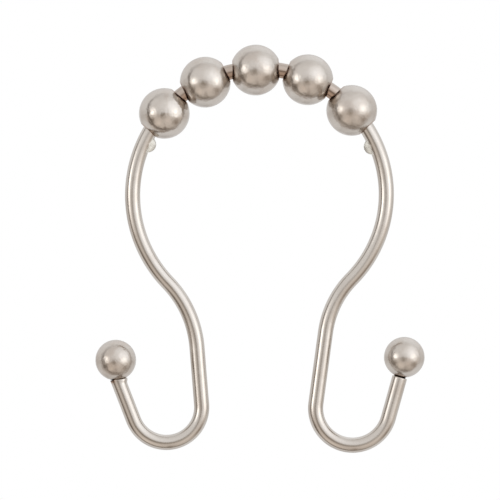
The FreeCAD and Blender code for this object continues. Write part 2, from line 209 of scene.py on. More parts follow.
class Number:
    """A socket in a node tree. Arithmetic on it adds the Math nodes that work it out."""

    def __init__(self, tree, socket):
        self.tree = tree
        self.socket = socket

    def math(self, operation, *others):
        node = self.tree.nodes.new("ShaderNodeMath")
        node.operation = operation
        for entry, value in zip(node.inputs, (self, *others)):
            feed(self.tree, entry, value)
        return Number(self.tree, node.outputs[0])

    def __add__(self, other):
        return self.math("ADD", other)

    def __sub__(self, other):
        return self.math("SUBTRACT", other)

    def __mul__(self, other):
        return self.math("MULTIPLY", other)

    def __truediv__(self, other):
        return self.math("DIVIDE", other)

    def __neg__(self):
        return self * -1

    __radd__ = __add__

    def __rsub__(self, other):
        return -self + other

    def squared(self):
        return self * self

    def root(self):
        return self.math("MAXIMUM", 0).math("SQRT")

    def absolute(self):
        return self.math("ABSOLUTE")

    def at_least(self, other):
        return self.math("MAXIMUM", other)

    def at_most(self, other):
        return self.math("MINIMUM", other)

    def bell(self, width):
        """1 at zero, falling away smoothly over the width on both sides."""
        return (-(self / width).squared()).math("EXPONENT")

    def step(self, low, high):
        """0 below low, 1 above high, and smooth in between."""
        node = self.tree.nodes.new("ShaderNodeMapRange")
        node.interpolation_type = "SMOOTHSTEP"
        for name, value in (("Value", self), ("From Min", low), ("From Max", high)):
            feed(self.tree, node.inputs[name], value)
        return Number(self.tree, node.outputs["Result"])


def feed(tree, entry, value):
    """Link a number or a socket to an input, or type a plain value in it."""
    if isinstance(value, Number):
        tree.links.new(value.socket, entry)
    elif isinstance(value, bpy.types.NodeSocket):
        tree.links.new(value, entry)
    else:
        entry.default_value = value


def add_node(tree, kind, settings=None, **entries):
    """Add a node. Entries name its inputs, with underscores for spaces."""
    node = tree.nodes.new(kind)
    for name, value in (settings or {}).items():
        setattr(node, name, value)
    for name, value in entries.items():
        feed(tree, node.inputs[name.replace("_", " ")], value)
    return node


def split(tree, vector):
    """The three parts of a vector, as numbers."""
    node = add_node(tree, "ShaderNodeSeparateXYZ", Vector=vector)
    return [Number(tree, socket) for socket in node.outputs]


def combine(tree, x=0, y=0, z=0):
    """A vector of three parts."""
    return add_node(tree, "ShaderNodeCombineXYZ", X=x, Y=y, Z=z).outputs["Vector"]


def read(tree, kind, name):
    """Output of a new node that has nothing to set, such as the position."""
    return tree.nodes.new(kind).outputs[name]


def mix_colours(tree, low, high, factor):
    """The low colour where the factor is 0, and the high one where it is 1."""
    node = add_node(tree, "ShaderNodeMix", {"data_type": "RGBA"}, Factor=factor)
    # The colour sockets share their names with those for numbers and vectors
    feed(tree, node.inputs[6], low)
    feed(tree, node.inputs[7], high)
    return node.outputs[2]


def cleared(owner):
    """Empty node tree of a material or world."""
    owner.use_nodes = True
    owner.node_tree.nodes.clear()
    return owner.node_tree


def new_tree(name, kind, inputs, outputs):
    """Node group and its input node. Inputs have a default, or only a type, as outputs do."""
    kinds = {float: "Float", int: "Int", tuple: "Color"}
    tree = bpy.data.node_groups.new(name, kind)
    for label, default in inputs.items():
        bare = isinstance(default, str)
        socket = tree.interface.new_socket(
            label, in_out="INPUT",
            socket_type="NodeSocket" + (default if bare else kinds[type(default)]),
        )
        if not bare:
            socket.default_value = default
    for label, leaving in outputs.items():
        tree.interface.new_socket(label, in_out="OUTPUT", socket_type="NodeSocket" + leaving)
    return tree, tree.nodes.new("NodeGroupInput")


def numbers(tree, given):
    """The inputs of a tree that are numbers, by name."""
    return {s.name: Number(tree, s) for s in given.outputs if s.type in ("VALUE", "INT")}


def capture(tree, geometry, **items):
    """Keep values on a geometry before it changes. Each item is a type and a socket."""
    node = tree.nodes.new("GeometryNodeCaptureAttribute")
    for name, (kind, _) in items.items():
        node.capture_items.new(kind, name)
    feed(tree, node.inputs["Geometry"], geometry)
    for name, (_, value) in items.items():
        feed(tree, node.inputs[name], value)
    return node


def store(tree, geometry, name, value, data_type="FLOAT"):
    """Write a value on a mesh, where its material reads it by name."""
    node = add_node(
        tree, "GeometryNodeStoreNamedAttribute", {"data_type": data_type},
        Geometry=geometry, Name=name, Value=value,
    )
    return node.outputs["Geometry"]


def close_tree(tree, geometry, finish):
    """End a tree with real geometry in its finish."""
    real = add_node(tree, "GeometryNodeRealizeInstances", Geometry=geometry)
    plated = add_node(
        tree, "GeometryNodeSetMaterial", Geometry=real.outputs["Geometry"], Material=finish
    )
    leaving = tree.nodes.new("NodeGroupOutput")
    feed(tree, leaving.inputs[0], plated.outputs["Geometry"])
    return tree


def set_inputs(modifier, settings, **values):
    """Give a modifier's inputs their values, or else the settings of the same names."""
    for item in modifier.node_group.interface.items_tree:
        key = item.name.lower().replace(" ", "_")
        if item.item_type != "SOCKET" or item.in_out != "INPUT":
            continue
        if key in values:
            modifier[item.identifier] = values.pop(key)
        elif hasattr(settings, key):
            modifier[item.identifier] = getattr(settings, key)
    if values:
        raise ValueError(f"{modifier.node_group.name} has no input named {sorted(values)}")


def bake(carrier, name):
    """Plain mesh object of what a carrier's modifiers make. The carrier is removed."""
    graph = bpy.context.evaluated_depsgraph_get()
    mesh = bpy.data.meshes.new_from_object(
        carrier.evaluated_get(graph), preserve_all_data_layers=True, depsgraph=graph
    )
    mesh.name = name
    made = add_object(name, mesh)
    bpy.data.objects.remove(carrier)
    return made


def add_object(name, data):
    made = bpy.data.objects.new(name, data)
    bpy.context.scene.collection.objects.link(made)
    return made


def count_faces(made, least):
    """Stop if a piece came out empty or nearly so."""
    if len(made.data.polygons) < least:
        raise RuntimeError(f"{made.name} has only {len(made.data.polygons)} faces")


# Wire

# Steps between the points of the centre line
ARCH_STEP = 0.0004
STOP_STEP = 0.0001
LEG_STEP = 0.0008
HOOK_STEP = 0.00025
TIP_STEP = 0.0002
SPIGOT_STEP = 0.0005

# The small steps reach this share of a stop's length to both sides of its middle
STOP_STEPS_REACH = 0.55

# Length over which the wire steps down to its spigot
SHOULDER_EDGE = 0.00004

# How far the points of the section draw together on the side that carries the stops
BUNCHING = 0.6

# Least share of the wire's radius that anything is divided by
LEAST_SHARE = 0.02

# Roundings where a stop's faces meet its rim and where it leaves the wire
RIM_ROUNDING = 0.0003
ROOT_ROUNDING = 0.0001

# Where a stop appears: shares of its radius at its ends, and distances from the centre line
# at its root. It reaches no further than its limit.
STOP_ENDS = (1.02, 0.97)
STOP_ROOT = (0, 0.0002)
STOP_LIMIT = 0.004

# Rounds that settle where its faces lie, because they thin with their own height
FACE_ROUNDS = 3

# Where its faces are flat: shares of its own radius, and of the wire's at its root
FLAT_ENDS = (1.10, 0.98)
FLAT_ROOT = (0.65, 0.9)

# The weld at the left tip: its place and width along the wire, and its side. Sides are shares
# of the wire's radius, from -1 at its left to 1 at its right.
WELD_PLACE = 0.0002
WELD_WIDTH = 0.0004
WELD_SIDE = (0.1, 0.9)

# The left shoulder: the gap to its ball, how far down the wire is drawn up with it, the side
# away from the leg, the share by which it climbs less there, and the height of the near-black
# painted shade in the hollow outside under the ball
BALL_GAP = 0.00004
CLIMB_DEPTH = 0.0006
OUTER_SIDE = (-0.3, -0.7)
OUTER_DROP = 0.25
DARK_SHADE_HEIGHT = 0.0003

# Painted shade on the arch, brown in the necks between the beads: angle from the top where it
# ends, sides of the wire from the outer to the inner one, and its strength on the outer side
# and beyond it on the inner one
ARCH_SHADE_END = (0.92, 0.82)
ARCH_SHADE_SIDES = (-0.7, 0.7)
ARCH_SHADE_OUTSIDE = 0.4
ARCH_SHADE_INSIDE = 0.55

# Painted shade that is all near-black. Up to 1 the painted shade is brown, and from there it
# turns black.
DARK_SHADE = 2

# A piece with fewer faces came out broken
LEAST_WIRE_FACES = 10000
LEAST_BALL_FACES = 4000


class Bender:
    """Walks along the wire's centre line in the XZ plane, bend by bend."""

    def __init__(self, start, heading):
        self.points = [start.copy()]
        self.heading = heading

    def ahead(self, turn=0.0):
        return Vector((math.cos(self.heading + turn), 0, math.sin(self.heading + turn)))

    def straight(self, distance, step):
        start = self.points[-1]
        count = max(1, round(distance / step))
        for number in range(1, count + 1):
            self.points.append(start + self.ahead() * distance * number / count)

    def bend(self, radius, turn, step):
        """Turn through an angle, anticlockwise if it is positive."""
        start = self.points[-1]
        side = math.copysign(math.pi / 2, turn)
        centre = start + self.ahead(side) * radius
        count = max(1, round(abs(turn) * radius / step))
        for number in range(1, count + 1):
            part = turn * number / count
            self.points.append(centre - self.ahead(side + part) * radius)
        self.heading += turn


def half_path(wire, side, sign):
    """Points of one half of the centre line, from the top of the arch down to its tip."""

    def own(name):
        return getattr(wire, f"{side}_{name}")

    bender = Bender(Vector((0, 0, arch_top(wire))), 0.0 if sign > 0 else math.pi)
    near_stop = wire.stop_length * STOP_STEPS_REACH / own("arch_radius")
    for turn, step in (
        (own("stop") - near_stop, ARCH_STEP),
        (2 * near_stop, STOP_STEP),
        (wire.flank_start - own("stop") - near_stop, ARCH_STEP),
    ):
        bender.bend(own("arch_radius"), -sign * turn, step)
    to_waist = math.pi / 2 + own("waist_angle") - wire.flank_start
    bender.bend(own("flank_radius"), -sign * to_waist, ARCH_STEP)
    bender.bend(own("waist_radius"), sign * (own("waist_angle") - own("leg_lean")), ARCH_STEP)
    bender.straight(own("leg"), LEG_STEP)
    round_hook = math.pi + own("leg_lean") - own("tip_lean")
    bender.bend(own("hook_radius"), sign * round_hook, HOOK_STEP)
    bender.straight(own("tip") - wire.shoulder, TIP_STEP)
    bender.straight(SHOULDER_EDGE, SHOULDER_EDGE)
    bender.straight(wire.shoulder + wire.spigot - SHOULDER_EDGE, SPIGOT_STEP)
    return bender.points


def centre_line(wire):
    """Edge-only mesh of the whole centre line, from the left tip to the right one."""
    left = half_path(wire, "left", -1)
    right = half_path(wire, "right", 1)
    points = left[:0:-1] + right
    mesh = bpy.data.meshes.new("centre_line")
    mesh.from_pydata(points, [(n, n + 1) for n in range(len(points) - 1)], [])
    return mesh


def wire_section(tree, wire_radius, sides):
    """Round section, with its points closer together on the side that carries the stops."""
    ring = add_node(
        tree, "GeometryNodeCurvePrimitiveCircle", Radius=wire_radius, Resolution=sides
    )
    turn = Number(tree, read(tree, "GeometryNodeSplineParameter", "Factor")) * math.tau
    turn = turn - turn.math("SINE") * BUNCHING
    across, aside = turn.math("COSINE") * wire_radius, turn.math("SINE") * wire_radius
    spread = add_node(
        tree, "GeometryNodeSetPosition", Geometry=ring.outputs["Curve"],
        Position=combine(tree, -across, -aside),
    )
    return capture(
        tree, spread.outputs["Geometry"],
        Round=("VECTOR", read(tree, "GeometryNodeInputPosition", "Position")),
    )


def pinch_stop(size, off, inward, sideways, stretch):
    """Stretch the wire's skin over one stop, and say how much of the stop is flattened.

    Off is the way along the wire from the stop's middle. Inward and sideways lead from the
    centre line to the skin, and stretch is how far that is.
    """
    wire_radius = size["Diameter"] * 0.5
    stop_radius = size["Stop Length"] * 0.5
    half_thick = size["Stop Thickness"] * 0.5
    thinning = (half_thick - size["Stop Rim"] * 0.5) / stop_radius
    reach = wire_radius + size["Stop Height"] - stop_radius
    upright = (inward / wire_radius).at_least(LEAST_SHARE)
    aside = (sideways / wire_radius).absolute().at_least(LEAST_SHARE)
    rim = reach + (stop_radius.squared() - off.squared()).root()
    # The faces draw together from the stop's middle to its rim
    face = half_thick / aside
    for _ in range(FACE_ROUNDS):
        deep = (face * upright).at_most(rim) - reach
        from_middle = (off.squared() + deep.squared()).root()
        face = (half_thick - thinning * from_middle) / aside
    corner = (rim / upright).math("SMOOTH_MIN", face, RIM_ROUNDING)
    shown = (off.absolute() / stop_radius).step(*STOP_ENDS) * inward.step(*STOP_ROOT)
    ear = (corner * shown).at_most(STOP_LIMIT)
    stretch = stretch.math("SMOOTH_MAX", ear, ROOT_ROUNDING)
    height = stretch * upright
    from_middle = (off.squared() + (height - reach).squared()).root() / stop_radius
    flat = from_middle.step(*FLAT_ENDS) * (height / wire_radius).step(*FLAT_ROOT)
    return stretch, flat * shown


def bent_wire_tree():
    """Round wire swept along its centre line, with two stops pinched up and a weld."""
    tree, given = new_tree("Bent Wire", "GeometryNodeTree", {
        "Centre Line": "Geometry", "Diameter": 0.003, "Sides": 64, "Arch Top": 0.0,
        "Left Arch Radius": 0.025, "Right Arch Radius": 0.025, "Left Stop": 1.2,
        "Right Stop": 1.2, "Stop Length": 0.0034, "Stop Height": 0.001,
        "Stop Thickness": 0.0024, "Stop Rim": 0.0012, "Spigot Diameter": 0.0023,
        "Spigot Length": 0.005, "Weld Height": 0.0003, "Shoulder": 0.004,
        "Ball Radius": 0.004, "Ball Offset": 0.001, "Finish": "Material",
    }, {"Wire": "Geometry"})
    size = numbers(tree, given)
    wire_radius = size["Diameter"] * 0.5

    line = add_node(tree, "GeometryNodeMeshToCurve", Mesh=given.outputs["Centre Line"])
    kept = capture(
        tree, line.outputs["Curve"],
        Middle=("VECTOR", read(tree, "GeometryNodeInputPosition", "Position")),
        Along=("FLOAT", read(tree, "GeometryNodeSplineParameter", "Length")),
        Whole=("FLOAT", read(tree, "GeometryNodeSplineLength", "Length")),
        Heading=("VECTOR", read(tree, "GeometryNodeInputTangent", "Tangent")),
    )
    section = wire_section(tree, wire_radius, size["Sides"])
    swept = add_node(
        tree, "GeometryNodeCurveToMesh", Curve=kept.outputs["Geometry"],
        Profile_Curve=section.outputs["Geometry"], Fill_Caps=True,
    )

    x, y, z = split(tree, read(tree, "GeometryNodeInputPosition", "Position"))
    middle_x, _, middle_z = split(tree, kept.outputs["Middle"])
    away_x, away_z = x - middle_x, z - middle_z
    stretch, pinched = wire_radius, 0
    for side, sign in (("Left", -1), ("Right", 1)):
        arch = size[f"{side} Arch Radius"]
        below = middle_z - size["Arch Top"] + arch
        inward = (middle_x * away_x + below * away_z) / (arch * -1)
        off = (middle_x.math("ARCTAN2", below) - size[f"{side} Stop"] * sign) * arch
        stretch, flat = pinch_stop(size, off, inward, y, stretch)
        pinched = flat.at_least(pinched)

    # Spigots on both ends, and a weld at the left one on the side of the leg
    along = Number(tree, kept.outputs["Along"])
    to_end = along.at_most(Number(tree, kept.outputs["Whole"]) - along)
    full = (to_end - size["Spigot Length"]) / SHOULDER_EDGE + 1
    full = full.at_least(0).at_most(1)
    thin = size["Spigot Diameter"] / size["Diameter"]
    stretch = stretch * (thin + (1 - thin) * full)
    from_left = along - size["Spigot Length"]
    side_x = away_x / wire_radius
    weld = (from_left - WELD_PLACE).bell(WELD_WIDTH) * side_x.step(*WELD_SIDE) * full
    grow = (stretch + weld * size["Weld Height"]) / wire_radius - 1

    # There the shoulder is drawn up to the ball, which sits off the wire's axis
    heading_x, _, heading_z = split(tree, kept.outputs["Heading"])
    from_ball = away_z * heading_x - away_x * heading_z - size["Ball Offset"]
    under_ball = (size["Ball Radius"].squared() - from_ball.squared() - y.squared()).root()
    climb = (size["Shoulder"] - under_ball - BALL_GAP).at_least(0) * full
    outer = side_x.step(*OUTER_SIDE)
    climb = climb * (1 - outer * OUTER_DROP) * from_left.bell(CLIMB_DEPTH)
    push = combine(
        tree, away_x * grow - heading_x * climb, y * grow, away_z * grow - heading_z * climb
    )
    shaped = add_node(
        tree, "GeometryNodeSetPosition", Geometry=swept.outputs["Mesh"], Offset=push
    )

    # Coordinates that follow the wire: across its section, and along it
    round_x, round_y, _ = split(tree, section.outputs["Round"])
    drawn = combine(tree, round_x, round_y, along)
    wire = store(tree, shaped.outputs["Geometry"], "drawn", drawn, "FLOAT_VECTOR")
    # Painted shade: brown in the necks between the beads on the arch, and near black on the
    # spigots inside the ball sockets and outside under the left ball, in the hollow there
    on_arch = middle_x.math("ARCTAN2", middle_z - size["Arch Top"] + size["Left Arch Radius"])
    inside = (inward / wire_radius).step(*ARCH_SHADE_SIDES)
    brown = on_arch.absolute().step(*ARCH_SHADE_END) * (inside * ARCH_SHADE_INSIDE + ARCH_SHADE_OUTSIDE)
    soot = (1 - full).at_least(from_left.bell(DARK_SHADE_HEIGHT) * outer)
    wire = store(tree, wire, "stain", brown.at_least(soot * DARK_SHADE))
    # The flat faces of the stops: rougher, as pinched metal is, and lighter with painted sheen
    wire = store(tree, wire, "pinched", pinched)
    smooth = add_node(tree, "GeometryNodeSetShadeSmooth", Geometry=wire)
    return close_tree(tree, smooth.outputs["Geometry"], given.outputs["Finish"])


# Beads and balls

# How far each bead is worn smoother than the rest: at 1 it is half as rough
BEAD_POLISH = {
    "left_outer_roller": 0.9,
    "left_inner_roller": 0.3,
    "middle_roller": 0.2,
    "right_inner_roller": 0.4,
    "right_outer_roller": 0.0,
}

# Turn of each bead against the one before, so that no two show the same specks
BEAD_TURN = 2.4

# Distance from the bore where a bead's brown painted shade round its mouths ends and where it
# is full
MOUTH_SHADE = (0.0009, 0.0001)

# Faces of an end ball that meet at a larger angle keep a sharp edge
SHARP_ANGLE = math.radians(35)

# Depth of the broken edge of an end ball's hole, against its width
SOCKET_LIP_DEPTH = 1.5


def skin(name, rings, closed=False, first_pole=None, last_pole=None):
    """Mesh over rings of points, each as long as the next."""
    shell = bmesh.new()
    rows = [[shell.verts.new(point) for point in ring] for ring in rings]
    pairs = list(zip(rows, rows[1:]))
    if closed:
        pairs.append((rows[-1], rows[0]))
    for row, following in pairs:
        for number in range(len(row)):
            after = (number + 1) % len(row)
            shell.faces.new((row[number], row[after], following[after], following[number]))
    for pole, row in ((first_pole, rows[0]), (last_pole, rows[-1])):
        if pole is not None:
            tip = shell.verts.new(pole)
            for number in range(len(row)):
                shell.faces.new((row[number], row[(number + 1) % len(row)], tip))
    bmesh.ops.recalc_face_normals(shell, faces=shell.faces)
    for face in shell.faces:
        face.smooth = True
    mesh = bpy.data.meshes.new(name)
    shell.to_mesh(mesh)
    shell.free()
    return mesh


def arc(centre, radius, first, last, count):
    """Points of an arc in a plane, from its first angle to its last."""
    turns = [first + (last - first) * number / count for number in range(count + 1)]
    return [
        (centre[0] + radius * math.cos(turn), centre[1] + radius * math.sin(turn))
        for turn in turns
    ]


def bead_blank(beads, around=96, rows=56, lip_rows=6, bore_rows=8):
    """Drilled ball at the origin with its bore along Z, and rounded lips."""
    radius, bore, lip = beads.diameter / 2, beads.bore / 2, beads.lip
    # The lip is an arc that touches the ball and the bore
    lip_across = bore + lip
    lip_up = math.sqrt((radius - lip) ** 2 - lip_across ** 2)
    touch = math.atan2(lip_up, lip_across)
    profile = (
        arc((0, 0), radius, -touch, touch, rows)
        + arc((lip_across, lip_up), lip, touch, math.pi, lip_rows)[1:]
        + [(bore, lip_up * (1 - 2 * row / bore_rows)) for row in range(1, bore_rows)]
        + arc((lip_across, -lip_up), lip, math.pi, math.tau - touch, lip_rows)[:-1]
    )
    spokes = [math.tau * number / around for number in range(around)]
    rings = [
        [Vector((out * math.cos(t), out * math.sin(t), up)) for t in spokes]
        for out, up in profile
    ]
    return skin("bead_blank", rings, closed=True)


def threaded_bead_tree():
    """Puts a drilled blank on the arch, square to its radius, and turns it on the wire."""
    tree, given = new_tree("Threaded Bead", "GeometryNodeTree", {
        "Blank": "Geometry", "Arch Height": 0.0, "Arch Radius": 0.0246, "Arch Angle": 0.0,
        "Turn": 0.0, "Bore": 0.0036, "Polish": 0.0, "Finish": "Material",
    }, {"Bead": "Geometry"})
    size = numbers(tree, given)
    # Brown painted shade round the mouths of the bore, where the bead meets the wire
    x, y, _ = split(tree, read(tree, "GeometryNodeInputPosition", "Position"))
    from_bore = (x.squared() + y.squared()).root() - size["Bore"] / 2
    bead = store(tree, given.outputs["Blank"], "stain", from_bore.step(*MOUTH_SHADE))
    bead = store(tree, bead, "polish", given.outputs["Polish"])
    turned = add_node(
        tree, "GeometryNodeTransform", Geometry=bead, Rotation=combine(tree, z=size["Turn"])
    )
    along, out = size["Arch Angle"], size["Arch Radius"]
    spot = combine(
        tree, along.math("SINE") * out, 0, along.math("COSINE") * out + size["Arch Height"]
    )
    placed = add_node(
        tree, "GeometryNodeTransform", Geometry=turned.outputs["Geometry"],
        Rotation=combine(tree, y=along + math.pi / 2), Translation=spot,
    )
    return close_tree(tree, placed.outputs["Geometry"], given.outputs["Finish"])


def socketed_ball(
    name, beads, middle, upwards, outwards, shift, spigot, around=96, rows=48
):
    """Ball with a blind hole from below, drilled outwards of its middle by a shift."""
    radius, hole, lip = beads.ball_diameter / 2, beads.socket / 2, beads.socket_lip
    through = Vector((0, 1, 0))

    def ring_at(wide, level=None):
        """Ring round the hole, at a level or else on the ball."""
        ring = []
        for number in range(around):
            t = math.tau * number / around
            out, side = wide * math.cos(t) + shift, wide * math.sin(t)
            on_ball = math.sqrt(radius ** 2 - out ** 2 - side ** 2)
            ring.append((out, side, on_ball if level is None else level))
        return ring

    # From the mouth over the ball to near its far pole
    mouth = ring_at(hole + lip)
    rings = []
    for row in range(rows):
        ring = []
        for out, side, down in mouth:
            slant = math.acos(-down / radius) * (1 - row / rows)
            reach = math.sin(slant) * radius / math.hypot(out, side)
            ring.append((out * reach, side * reach, -math.cos(slant) * radius))
        rings.append(ring)
    throat = [
        (out, side, down - lip * SOCKET_LIP_DEPTH)
        for (out, side, _), (_, _, down) in zip(ring_at(hole), mouth)
    ]
    rings = [ring_at(hole, -spigot), throat] + rings

    def place(out, side, down):
        return middle + outwards * out + through * side - upwards * down

    placed = [[place(*point) for point in ring] for ring in rings]
    mesh = skin(
        name, placed, first_pole=place(shift, 0, -spigot), last_pole=place(0, 0, -radius)
    )
    mesh.set_sharp_from_angle(angle=SHARP_ANGLE)
    return mesh


# Finish

# Scales of the texture, per metre
DRIFT_SCALE = 260
CLOUD_SCALE = 900
GRAIN_SCALE = 9000
SPECK_SCALE = 420
SPECK_AREA_SCALE = 190

# Where the noise begins to show, and where it shows fully: brown patches, the middles of
# specks, the areas that have specks, and rough spots
PATCH_RANGE = (0.42, 0.72)
SPECK_RANGE = (0.075, 0.02)
SPECK_AREA_RANGE = (0.5, 0.62)
ROUGH_RANGE = (0.3, 0.85)
NOISE_ROUGHNESS = 0.6

# What full polish leaves of the roughness, and what a pinched face adds to it
POLISHED = 0.5
PINCHED_ROUGHNESS = 0.45

# Smoothest and roughest metal against the roughness that the settings give
ROUGHNESS_RANGE = (0.8, 1.3)

# Strength of the bump, and its depth in metres
BUMP_STRENGTH = 0.6
BUMP_DEPTH = 0.000006

# Tint of the metal where it turns away from the viewer
EDGE_TINT = (0.86, 0.85, 0.85, 1)

# For each plating: its metal and roughness among the settings, the mesh attribute that holds
# its coordinates or None, the stretch of its drawn lines, and the strength of its texture
PLATINGS = {
    "wire_nickel": (
        "nickel", "wire_roughness", "drawn", (1, 1, 0.03),
        {"Patches": 0.18, "Specks": 0.5, "Lines": 1.0, "Grain": 0.3, "Waves": 6.0},
    ),
    "bead_nickel": (
        "bead_nickel", "bead_roughness", None, (1, 1, 0.4),
        {"Patches": 0.3, "Specks": 0.35, "Lines": 0.35, "Grain": 0.8, "Waves": 40.0},
    ),
    "ball_nickel": (
        "bead_nickel", "bead_roughness", None, (1, 0.4, 1),
        {"Patches": 0.36, "Specks": 0.4, "Lines": 0.35, "Grain": 0.8, "Waves": 40.0},
    ),
}


def satin_nickel_group():
    """Colour, roughness and height of satin nickel, on coordinates in metres."""
    tree, given = new_tree("Satin Nickel", "ShaderNodeTree", {
        "Place": "Vector", "Stretched Place": "Vector", "Metal": (0.66, 0.6, 0.55, 1.0),
        "Tarnish": (0.46, 0.37, 0.3, 1.0), "Rubbed": (0.35, 0.25, 0.18, 1.0),
        "Soot": (0.05, 0.04, 0.03, 1.0), "Pinched Metal": (0.7, 0.7, 0.66, 1.0),
        "Stain": 0.0, "Pinched": 0.0, "Polish": 0.0, "Patches": 0.2, "Specks": 0.3,
        "Smoothest": 0.18, "Roughest": 0.28, "Grain": 0.5, "Lines": 0.5, "Waves": 1.0,
    }, {"Color": "Color", "Roughness": "Float", "Height": "Float"})
    amount = numbers(tree, given)

    def noise(place, scale, detail):
        node = add_node(
            tree, "ShaderNodeTexNoise", Vector=place, Scale=scale, Detail=detail,
            Roughness=NOISE_ROUGHNESS,
        )
        return Number(tree, node.outputs["Fac"])

    place = given.outputs["Place"]
    drift = noise(place, DRIFT_SCALE, 3)
    cloud = noise(place, CLOUD_SCALE, 4)
    grain = noise(place, GRAIN_SCALE, 2)
    lines = noise(given.outputs["Stretched Place"], GRAIN_SCALE, 3)
    spots = add_node(tree, "ShaderNodeTexVoronoi", Vector=place, Scale=SPECK_SCALE)
    speck = Number(tree, spots.outputs["Distance"]).step(*SPECK_RANGE)
    speck = speck * noise(place, SPECK_AREA_SCALE, 1).step(*SPECK_AREA_RANGE)

    brown = (
        drift.step(*PATCH_RANGE) * amount["Patches"]
        + (cloud - 0.5).absolute() * amount["Patches"] * 0.8
        + speck * amount["Specks"]
        + (lines - 0.5).absolute() * amount["Lines"] * 0.35
    ).at_most(1)
    shade = given.outputs["Metal"]
    # Over the metal go its own tarnish, the brown and the near-black painted shade, and the
    # painted sheen of the stops' flat faces
    for label, factor in (
        ("Tarnish", brown),
        ("Rubbed", amount["Stain"].at_most(1)),
        ("Soot", (amount["Stain"] - 1).at_least(0)),
        ("Pinched Metal", amount["Pinched"]),
    ):
        shade = mix_colours(tree, shade, given.outputs[label], factor)
    uneven = (
        cloud * 0.55 + lines * amount["Lines"] * 0.5 + grain * 0.25 + speck * 0.6
    ).step(*ROUGH_RANGE)
    rough = amount["Smoothest"] + (amount["Roughest"] - amount["Smoothest"]) * uneven
    rough = rough * (1 - amount["Polish"] * (1 - POLISHED))
    rough = rough + amount["Pinched"] * PINCHED_ROUGHNESS
    height = (
        grain * amount["Grain"] * 0.4
        + lines * amount["Lines"]
        + (cloud * 0.4 + drift) * amount["Waves"]
        - speck * 1.5
    )
    leaving = tree.nodes.new("NodeGroupOutput")
    for entry, value in zip(leaving.inputs, (shade, rough, height)):
        feed(tree, entry, value)
    return tree


def mesh_attribute(tree, name):
    return add_node(
        tree, "ShaderNodeAttribute", {"attribute_type": "GEOMETRY", "attribute_name": name}
    )


def nickel_material(finish, name):
    """Plating of the wire, the beads or the end balls, made at its first use."""
    if name in bpy.data.materials:
        return bpy.data.materials[name]
    metal, roughness, coordinates, stretch, amounts = PLATINGS[name]
    material = bpy.data.materials.new(name)
    tree = cleared(material)
    if coordinates:
        place = mesh_attribute(tree, coordinates).outputs["Vector"]
    else:
        place = read(tree, "ShaderNodeTexCoord", "Object")
    along = add_node(
        tree, "ShaderNodeMapping", {"vector_type": "POINT"}, Vector=place, Scale=stretch
    )
    group = bpy.data.node_groups.get("Satin Nickel") or satin_nickel_group()
    plating = add_node(
        tree, "ShaderNodeGroup", {"node_tree": group}, Place=place,
        Stretched_Place=along.outputs["Vector"], **amounts,
    )
    for label, shade in (
        ("Metal", getattr(finish, metal)),
        ("Tarnish", finish.tarnish),
        ("Rubbed", finish.rubbed),
        ("Soot", finish.soot),
        ("Pinched Metal", finish.pinched),
    ):
        feed(tree, plating.inputs[label], (*shade, 1))
    for mask in ("Stain", "Pinched", "Polish"):
        feed(tree, plating.inputs[mask], mesh_attribute(tree, mask.lower()).outputs["Fac"])
    for label, part in zip(("Smoothest", "Roughest"), ROUGHNESS_RANGE):
        feed(tree, plating.inputs[label], getattr(finish, roughness) * part)
    bump = add_node(
        tree, "ShaderNodeBump", Height=plating.outputs["Height"], Strength=BUMP_STRENGTH,
        Distance=BUMP_DEPTH,
    )
    shader = add_node(
        tree, "ShaderNodeBsdfPrincipled", Base_Color=plating.outputs["Color"], Metallic=1.0,
        Roughness=plating.outputs["Roughness"], Normal=bump.outputs["Normal"],
        Specular_Tint=EDGE_TINT,
    )
    leaving = tree.nodes.new("ShaderNodeOutputMaterial")
    tree.links.new(shader.outputs["BSDF"], leaving.inputs["Surface"])
    return material


# Operators

class HOOK_OT_bend_wire(bpy.types.Operator):
    """Bend the wire, pinch up its stops and plate it"""

    bl_idname = "hook.bend_wire"
    bl_label = "Bend Wire"

    def execute(self, context):
        settings = context.scene.curtain_hook
        wire = settings.wire
        carrier = add_object("wire_carrier", centre_line(wire))
        bending = carrier.modifiers.new("Bent Wire", "NODES")
        bending.node_group = bent_wire_tree()
        set_inputs(
            bending, wire,
            arch_top=arch_top(wire),
            spigot_length=wire.shoulder + wire.spigot,
            ball_radius=settings.beads.ball_diameter / 2,
            ball_offset=settings.beads.left_offset,
            finish=nickel_material(settings.finish, "wire_nickel"),
        )
        made = bake(carrier, "plated_wire")
        count_faces(made, LEAST_WIRE_FACES)
        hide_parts(WIRE_NODE)
        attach(made, WIRE_BODY)
        return {"FINISHED"}


class HOOK_OT_thread_beads(bpy.types.Operator):
    """Thread the five roller beads on the arch"""

    bl_idname = "hook.thread_beads"
    bl_label = "Thread Beads"

    def execute(self, context):
        settings = context.scene.curtain_hook
        wire = settings.wire
        blank = bead_blank(settings.beads)
        tree = threaded_bead_tree()
        plating = nickel_material(settings.finish, "bead_nickel")
        for number, (roller, joint) in enumerate(sorted(BEAD_JOINTS.items())):
            half = "right" if roller.startswith("right") else "left"
            centre = arch_top(wire) - getattr(wire, f"{half}_arch_radius")
            spot = Vector(joint["pos_m"]) - Vector((0, 0, centre))
            carrier = add_object(f"{roller}_carrier", blank.copy())
            threading = carrier.modifiers.new("Threaded Bead", "NODES")
            threading.node_group = tree
            set_inputs(
                threading, settings.beads,
                arch_height=centre,
                arch_radius=spot.length,
                arch_angle=math.atan2(spot.x, spot.z),
                turn=BEAD_TURN * number,
                polish=BEAD_POLISH[roller],
                finish=plating,
            )
            made = bake(carrier, f"plated_{BEAD_NODES[roller]}")
            count_faces(made, LEAST_BALL_FACES)
            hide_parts(BEAD_NODES[roller])
            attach(made, roller)
        bpy.data.meshes.remove(blank)
        return {"FINISHED"}


